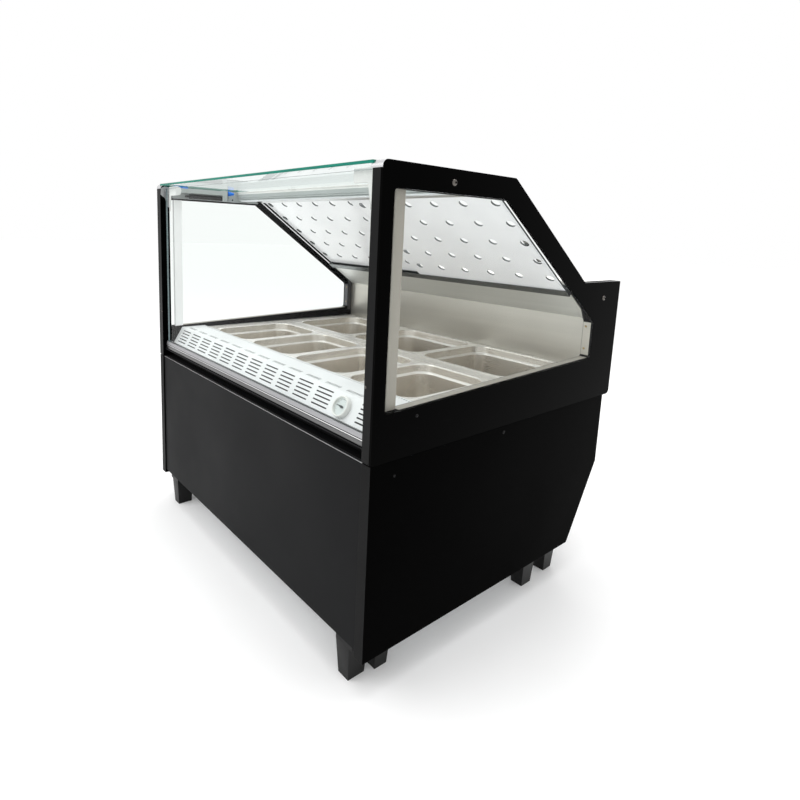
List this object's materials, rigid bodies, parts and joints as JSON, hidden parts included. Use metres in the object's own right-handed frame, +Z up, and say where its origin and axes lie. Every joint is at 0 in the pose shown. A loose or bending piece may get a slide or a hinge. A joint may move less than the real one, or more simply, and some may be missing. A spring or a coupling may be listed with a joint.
{
  "type": "ice cream dipping cabinet",
  "caption": "Glass-topped refrigerated scooping cabinet with two rows of steel pans, perforated sliding rear doors, a lift-up front glass and block feet.",
  "frame": {"origin": "on the floor, under the middle of the cabinet", "axes": "+Z up, +X towards the right-hand end seen from the customer's side, -Y towards the customer"},
  "size_m": [1.2, 0.98, 1.16],
  "materials": {
    "galvanised": "zinc coated, dull",
    "black_plastic": "satin black",
    "charcoal_paint": "matt charcoal",
    "black_paint": "satin black coat on foam-cored panels",
    "black_sheet": "satin black powder coat",
    "stainless": "brushed",
    "clear_glass": "clear, green at the cut edges",
    "foam": "rigid foam",
    "pale_grey": "pale grey",
    "white_enamel": "smooth white",
    "white_acrylic": "glossy white sheet",
    "lamp_diffuser": "milky diffuser",
    "aluminium": "satin anodised",
    "pan_steel": "satin deep-drawn steel",
    "compressor_enamel": "gloss black enamel",
    "blue_plastic": "blue",
    "red_plastic": "red"
  },
  "bodies": {
    "cabinet": {"base_frame": "galvanised", "foot_front_left": "black_plastic", "foot_front_right": "black_plastic", "foot_rear_left": "black_plastic", "foot_rear_right": "black_plastic", "front_panel": "charcoal_paint", "front_sill": "black_plastic", "rear_panel": "black_sheet", "rear_counter": "stainless", "side_panel_left": "black_paint", "side_panel_right": "black_paint", "end_frame_left": "black_paint", "end_frame_right": "black_paint", "side_glass_left": "clear_glass", "side_glass_right": "clear_glass", "insulation": "foam", "well_liner": "stainless", "drain_pipe": "pale_grey", "row_divider": "stainless", "air_grille": "white_enamel", "gauge_body": "white_enamel", "gauge_lens": "clear_glass", "top_glass": "clear_glass", "light_beam": "pale_grey", "lamp_tube": "lamp_diffuser", "hinge_pin_left": "aluminium", "strut_housing_left": "pale_grey", "gas_spring_left": "black_plastic", "hinge_pin_right": "aluminium", "strut_housing_right": "pale_grey", "gas_spring_right": "black_plastic", "door_rail_top": "aluminium", "door_rail_bottom": "aluminium", "back_wall": "stainless", "compressor": "compressor_enamel", "condenser": "aluminium", "evaporator": "aluminium", "control_panel": "black_plastic"},
    "front_glass_unit": {"front_glass": "clear_glass", "glass_rail": "aluminium", "hinge_clamp_left": "pale_grey", "hinge_clamp_right": "pale_grey"},
    "strut_plunger_left": {"strut_plunger_left": "blue_plastic"},
    "strut_plunger_right": {"strut_plunger_right": "blue_plastic"},
    "door_left": {"door_left": "white_acrylic"},
    "door_right": {"door_right": "white_acrylic"},
    "gauge_needle": {"gauge_needle": "black_plastic"},
    "condenser_fan": {"condenser_fan": "black_plastic"},
    "evaporator_fan": {"evaporator_fan": "black_plastic"},
    "light_switch": {"light_switch": "red_plastic"},
    "power_switch": {"power_switch": "red_plastic"},
    "pan_1": {"pan_1": "pan_steel"},
    "pan_2": {"pan_2": "pan_steel"},
    "pan_3": {"pan_3": "pan_steel"},
    "pan_4": {"pan_4": "pan_steel"},
    "pan_5": {"pan_5": "pan_steel"},
    "pan_6": {"pan_6": "pan_steel"},
    "pan_7": {"pan_7": "pan_steel"}
  },
  "joints": [
    {"name": "front_glass_lift", "type": "hinge", "parent": "cabinet", "child": "front_glass_unit", "pos_m": [0, -0.462, 1.137], "axis": [-1, 0, 0], "range_deg": [0, 75]},
    {"name": "strut_left_push", "type": "slide", "parent": "cabinet", "child": "strut_plunger_left", "axis": [0, 1, 0], "range_m": [0, 0.02]},
    {"name": "strut_right_push", "type": "slide", "parent": "cabinet", "child": "strut_plunger_right", "axis": [0, 1, 0], "range_m": [0, 0.02]},
    {"name": "door_left_slide", "type": "slide", "parent": "cabinet", "child": "door_left", "axis": [1, 0, 0], "range_m": [0, 0.54]},
    {"name": "door_right_slide", "type": "slide", "parent": "cabinet", "child": "door_right", "axis": [-1, 0, 0], "range_m": [0, 0.54]},
    {"name": "gauge_needle_turn", "type": "hinge", "parent": "cabinet", "child": "gauge_needle", "pos_m": [0.433, -0.4352, 0.62241], "axis": [0, -0.8608, 0.509], "range_deg": [-204, 36]},
    {"name": "condenser_fan_spin", "type": "hinge", "parent": "cabinet", "child": "condenser_fan", "pos_m": [0.19, 0.15, 0.2], "axis": [0, 1, 0], "continuous": true},
    {"name": "evaporator_fan_spin", "type": "hinge", "parent": "cabinet", "child": "evaporator_fan", "pos_m": [0, 0.07, 0.392], "axis": [0, 1, 0], "continuous": true},
    {"name": "light_switch_rock", "type": "hinge", "parent": "cabinet", "child": "light_switch", "pos_m": [0.455, 0.481, 0.795], "axis": [1, 0, 0], "range_deg": [0, 16]},
    {"name": "power_switch_rock", "type": "hinge", "parent": "cabinet", "child": "power_switch", "pos_m": [0.492, 0.481, 0.795], "axis": [1, 0, 0], "range_deg": [0, 16]},
    {"name": "pan_1_lift", "type": "slide", "parent": "cabinet", "child": "pan_1", "axis": [0, 0, 1], "range_m": [0, 0.25]},
    {"name": "pan_2_lift", "type": "slide", "parent": "cabinet", "child": "pan_2", "axis": [0, 0, 1], "range_m": [0, 0.25]},
    {"name": "pan_3_lift", "type": "slide", "parent": "cabinet", "child": "pan_3", "axis": [0, 0, 1], "range_m": [0, 0.25]},
    {"name": "pan_4_lift", "type": "slide", "parent": "cabinet", "child": "pan_4", "axis": [0, 0, 1], "range_m": [0, 0.25]},
    {"name": "pan_5_lift", "type": "slide", "parent": "cabinet", "child": "pan_5", "axis": [0, 0, 1], "range_m": [0, 0.15]},
    {"name": "pan_6_lift", "type": "slide", "parent": "cabinet", "child": "pan_6", "axis": [0, 0, 1], "range_m": [0, 0.15]},
    {"name": "pan_7_lift", "type": "slide", "parent": "cabinet", "child": "pan_7", "axis": [0, 0, 1], "range_m": [0, 0.15]}
  ],
  "couplings": [
    {"joint": "strut_left_push", "follows": "front_glass_lift", "m_per_rad": 0.015278},
    {"joint": "strut_right_push", "follows": "front_glass_lift", "m_per_rad": 0.015278}
  ]
}
